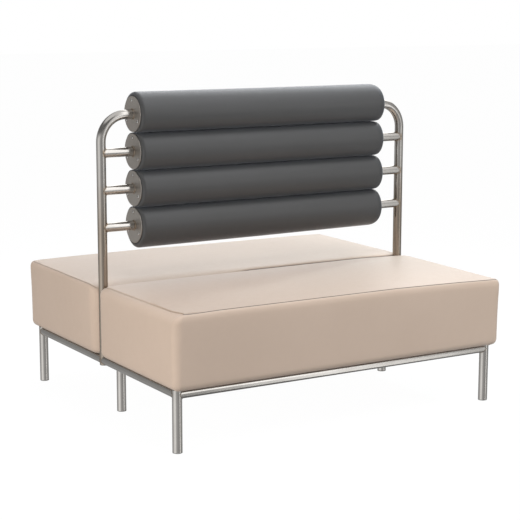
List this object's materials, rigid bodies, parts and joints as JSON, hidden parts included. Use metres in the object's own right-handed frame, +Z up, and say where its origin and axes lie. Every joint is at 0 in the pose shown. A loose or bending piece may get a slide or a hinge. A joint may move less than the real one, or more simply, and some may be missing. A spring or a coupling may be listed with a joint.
{
  "type": "double-sided booth seat",
  "caption": "Back-to-back upholstered booth bench on a steel tube frame, with a shared backrest of horizontal rolls between two bent uprights.",
  "frame": {"origin": "centre of the footprint, on the floor", "axes": "+X along the bench to the right as seen by someone facing the front seat, +Y from the front seat to the back seat, +Z up"},
  "size_m": [1.284, 1.142, 1.088],
  "materials": {
    "stainless_satin": "satin",
    "screw_steel": "satin",
    "seat_upholstery": "satin",
    "roll_upholstery": "satin",
    "foam": "matte",
    "plywood": "matte",
    "core_pipe": "matte",
    "glide_plastic": "matte"
  },
  "bodies": {
    "root": {"leg_front_left": "stainless_satin", "leg_front_right": "stainless_satin", "leg_back_left": "stainless_satin", "leg_back_right": "stainless_satin", "leg_middle_left": "stainless_satin", "leg_middle_right": "stainless_satin", "upright_left": "stainless_satin", "upright_right": "stainless_satin", "front_rail": "stainless_satin", "back_rail": "stainless_satin", "end_rail_front_left": "stainless_satin", "end_rail_front_right": "stainless_satin", "end_rail_back_left": "stainless_satin", "end_rail_back_right": "stainless_satin", "centre_rail": "stainless_satin", "centre_rail_links": "stainless_satin", "stub_left_2": "stainless_satin", "stub_right_2": "stainless_satin", "stub_left_3": "stainless_satin", "stub_right_3": "stainless_satin", "stub_left_4": "stainless_satin", "stub_right_4": "stainless_satin", "disc_left_1": "stainless_satin", "disc_right_1": "stainless_satin", "disc_left_2": "stainless_satin", "disc_right_2": "stainless_satin", "disc_left_3": "stainless_satin", "disc_right_3": "stainless_satin", "disc_left_4": "stainless_satin", "disc_right_4": "stainless_satin", "seat_tabs": "stainless_satin", "leg_glides": "glide_plastic", "upright_plugs": "glide_plastic", "disc_screws": "screw_steel", "seat_tab_screws": "screw_steel", "roll_cover_1": "roll_upholstery", "roll_cover_2": "roll_upholstery", "roll_cover_3": "roll_upholstery", "roll_cover_4": "roll_upholstery", "roll_foam_1": "foam", "roll_foam_2": "foam", "roll_foam_3": "foam", "roll_foam_4": "foam", "seat_foam_slab_front": "foam", "seat_foam_slab_back": "foam", "seat_foam_strips_front": "foam", "seat_foam_strips_back": "foam", "roll_core_1": "core_pipe", "roll_core_2": "core_pipe", "roll_core_3": "core_pipe", "roll_core_4": "core_pipe", "roll_end_plugs": "plywood", "seat_base_board_front": "plywood", "seat_base_board_back": "plywood", "seat_box_boards_front": "plywood", "seat_box_boards_back": "plywood", "seat_deck_front": "plywood", "seat_deck_back": "plywood", "seat_cover_front": "seat_upholstery", "seat_cover_back": "seat_upholstery"}
  },
  "joints": []
}
